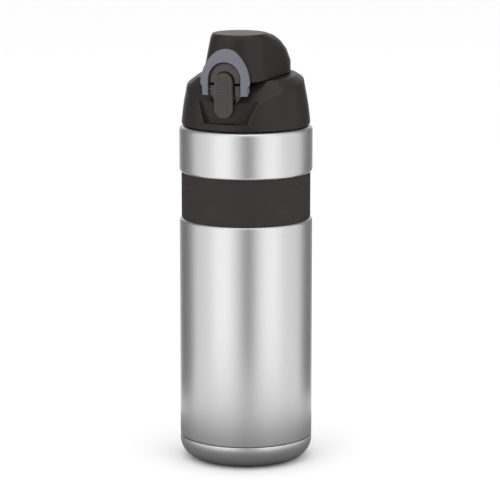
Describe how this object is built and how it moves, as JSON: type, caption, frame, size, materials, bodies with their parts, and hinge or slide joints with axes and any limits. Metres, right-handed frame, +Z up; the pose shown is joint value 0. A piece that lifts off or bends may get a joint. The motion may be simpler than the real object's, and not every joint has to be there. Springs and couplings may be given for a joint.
{
  "type": "bicycle water bottle",
  "caption": "Insulated steel bicycle bottle with a soft grip band and a screw-on cap: flip lid over a spout, push button and swinging lock ring.",
  "frame": {"origin": "centre of the base, on the plane the bottle stands on", "axes": "+Z up along the bottle's axis, -Y towards the push button, +X to the right seen from the front"},
  "size_m": [0.074, 0.074, 0.2404],
  "materials": {
    "brushed_steel": "fine circumferential brushing, satin",
    "inner_steel": "electropolished",
    "copper_foil": "bright foil",
    "band_rubber": "matte with a fine moulded dot pattern",
    "seal_rubber": "silicone, translucent white",
    "cap_plastic": "fine spark-eroded texture",
    "insert_plastic": "smooth moulded",
    "trim_plastic": "satin moulded",
    "button_rubber": "finely ribbed soft touch",
    "ring_plastic": "satin moulded",
    "pin_steel": "drawn stainless wire"
  },
  "bodies": {
    "flask": {"outer_shell": "brushed_steel", "base_cup": "brushed_steel", "vacuum_bottom": "inner_steel", "evacuation_plug": "inner_steel", "getter": "inner_steel", "inner_flask": "inner_steel", "radiation_foil": "copper_foil", "grip_band": "band_rubber"},
    "seal": {"neck_seal": "seal_rubber"},
    "collar": {"cap_collar": "cap_plastic", "thread_insert": "insert_plastic", "latch_housing": "trim_plastic", "spout": "insert_plastic", "spout_seal": "seal_rubber", "air_vent": "seal_rubber", "lid_hinge_pin": "pin_steel", "lid_spring": "pin_steel", "button_pin": "pin_steel", "button_spring": "pin_steel"},
    "lid": {"lid_shell": "cap_plastic", "lid_liner": "insert_plastic", "lid_gasket": "seal_rubber", "catch_plate": "trim_plastic"},
    "button": {"push_button": "button_rubber"},
    "ring": {"lock_ring": "ring_plastic", "ring_pins": "pin_steel"}
  },
  "joints": [
    {"name": "cap_lift", "type": "slide", "parent": "flask", "child": "seal", "axis": [0, 0, 1], "range_m": [0, 0.024]},
    {"name": "cap_turn", "type": "hinge", "parent": "seal", "child": "collar", "pos_m": [0, 0, 0.2], "axis": [0, 0, 1], "range_deg": [0, 1080]},
    {"name": "lid_hinge", "type": "hinge", "parent": "collar", "child": "lid", "pos_m": [0, 0.0295, 0.2135], "axis": [-1, 0, 0], "range_deg": [0, 115]},
    {"name": "button_press", "type": "hinge", "parent": "collar", "child": "button", "pos_m": [0, -0.0303, 0.207], "axis": [1, 0, 0], "range_deg": [0, 4], "stiffness_Nm_per_rad": 0.3, "springref_deg": -1.15},
    {"name": "ring_swing", "type": "hinge", "parent": "collar", "child": "ring", "pos_m": [0, -0.0314, 0.2115], "axis": [1, 0, 0], "range_deg": [0, 150]}
  ],
  "couplings": [
    {"joint": "cap_turn", "follows": "cap_lift", "rad_per_m": 785.4}
  ]
}
